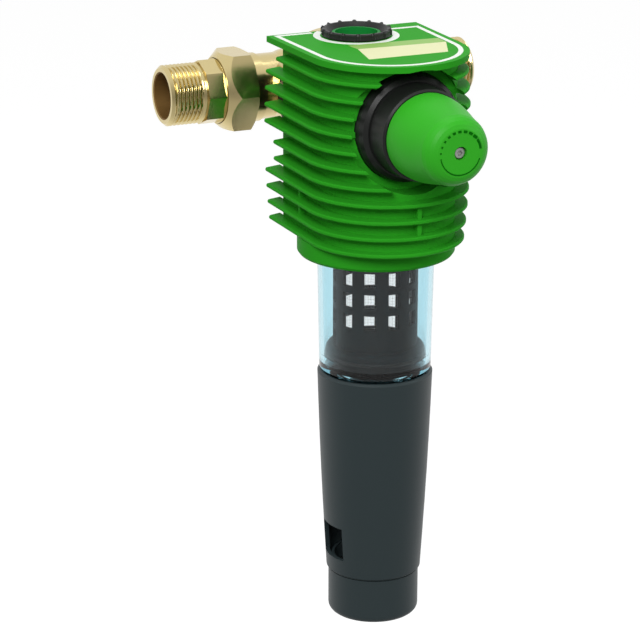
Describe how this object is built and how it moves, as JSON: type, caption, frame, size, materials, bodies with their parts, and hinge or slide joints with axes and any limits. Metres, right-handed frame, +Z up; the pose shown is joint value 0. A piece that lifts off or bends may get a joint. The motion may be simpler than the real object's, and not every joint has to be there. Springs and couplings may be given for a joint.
{
  "type": "self cleaning filter",
  "caption": "Backwash water filter with clear bowl, turning drain grip, pressure reducer knob and brass union connections for a horizontal pipe.",
  "frame": {"origin": "middle of the pipe run, on the pipe axis", "axes": "+X along the pipe from inlet to outlet, -Y to the front where the knob is, +Z up"},
  "size_m": [0.1824, 0.1995, 0.3255],
  "materials": {
    "green_plastic": "lit green, semi-gloss",
    "knob_green": "green, semi-gloss",
    "brass": "polished brass",
    "anthracite": "anthracite, satin",
    "black_plastic": "black, satin",
    "clear": "clear plastic with a pale blue tint",
    "steel": "stainless steel",
    "rubber": "black seal rubber"
  },
  "bodies": {
    "filter_body": {"connection_body": "brass", "inlet_nipple": "brass", "outlet_nipple": "brass", "inlet_gasket": "rubber", "outlet_gasket": "rubber", "flange_seal": "rubber", "flange_screws": "steel", "head_body": "black_plastic", "finned_shell": "green_plastic", "clamp_ring": "black_plastic", "spring_bonnet": "black_plastic", "diaphragm": "rubber", "valve_seat": "brass", "reducer_spring": "steel", "bowl": "clear", "bowl_seal": "rubber", "strainer_cage": "black_plastic", "strainer_mesh": "steel", "strainer_seal": "rubber", "strainer_foot": "black_plastic", "foot_seal": "rubber", "drain_tube": "anthracite", "tube_gasket": "rubber", "tube_nut": "anthracite", "tube_clips": "steel", "drain_spigot": "anthracite"},
    "grip_body": {"grip": "anthracite", "cam_sleeve": "anthracite"},
    "piston_body": {"drain_piston": "brass", "drain_pad": "rubber", "drive_pin": "steel"},
    "knob_body": {"adjusting_knob": "knob_green", "knob_screw": "steel", "adjusting_spindle": "brass"},
    "carrier_body": {"spring_carrier": "steel"},
    "valve_body": {"valve_stem": "steel", "valve_pad": "rubber", "diaphragm_plate": "steel"},
    "ring_body": {"reminder_ring": "black_plastic"},
    "inlet_nut_body": {"inlet_union_nut": "brass"},
    "outlet_nut_body": {"outlet_union_nut": "brass"}
  },
  "joints": [
    {"name": "grip_turn", "type": "hinge", "parent": "filter_body", "child": "grip_body", "pos_m": [0, -0.079, -0.20135], "axis": [0, 0, 1], "range_deg": [0, 120]},
    {"name": "piston_lift", "type": "slide", "parent": "filter_body", "child": "piston_body", "axis": [0, 0, 1], "range_m": [0, 0.006]},
    {"name": "knob_turn", "type": "hinge", "parent": "filter_body", "child": "knob_body", "pos_m": [0, -0.159, 0], "axis": [0, -1, 0], "range_deg": [-540, 540]},
    {"name": "carrier_slide", "type": "slide", "parent": "filter_body", "child": "carrier_body", "axis": [0, -1, 0], "range_m": [-0.00225, 0.00225], "deforming": ["reducer_spring"]},
    {"name": "valve_slide", "type": "slide", "parent": "filter_body", "child": "valve_body", "axis": [0, -1, 0], "range_m": [0, 0.002], "stiffness_N_per_m": 4000, "deforming": ["diaphragm"]},
    {"name": "ring_turn", "type": "hinge", "parent": "filter_body", "child": "ring_body", "pos_m": [0, -0.0527, 0.03885], "axis": [0, 0, 1], "continuous": true},
    {"name": "inlet_nut_turn", "type": "hinge", "parent": "filter_body", "child": "inlet_nut_body", "pos_m": [-0.05, 0, 0], "axis": [-1, 0, 0], "continuous": true},
    {"name": "outlet_nut_turn", "type": "hinge", "parent": "filter_body", "child": "outlet_nut_body", "pos_m": [0.05, 0, 0], "axis": [1, 0, 0], "continuous": true}
  ],
  "couplings": [
    {"joint": "piston_lift", "follows": "grip_turn", "m_per_rad": 0.0028648},
    {"joint": "carrier_slide", "follows": "knob_turn", "m_per_rad": 0.00023873}
  ]
}
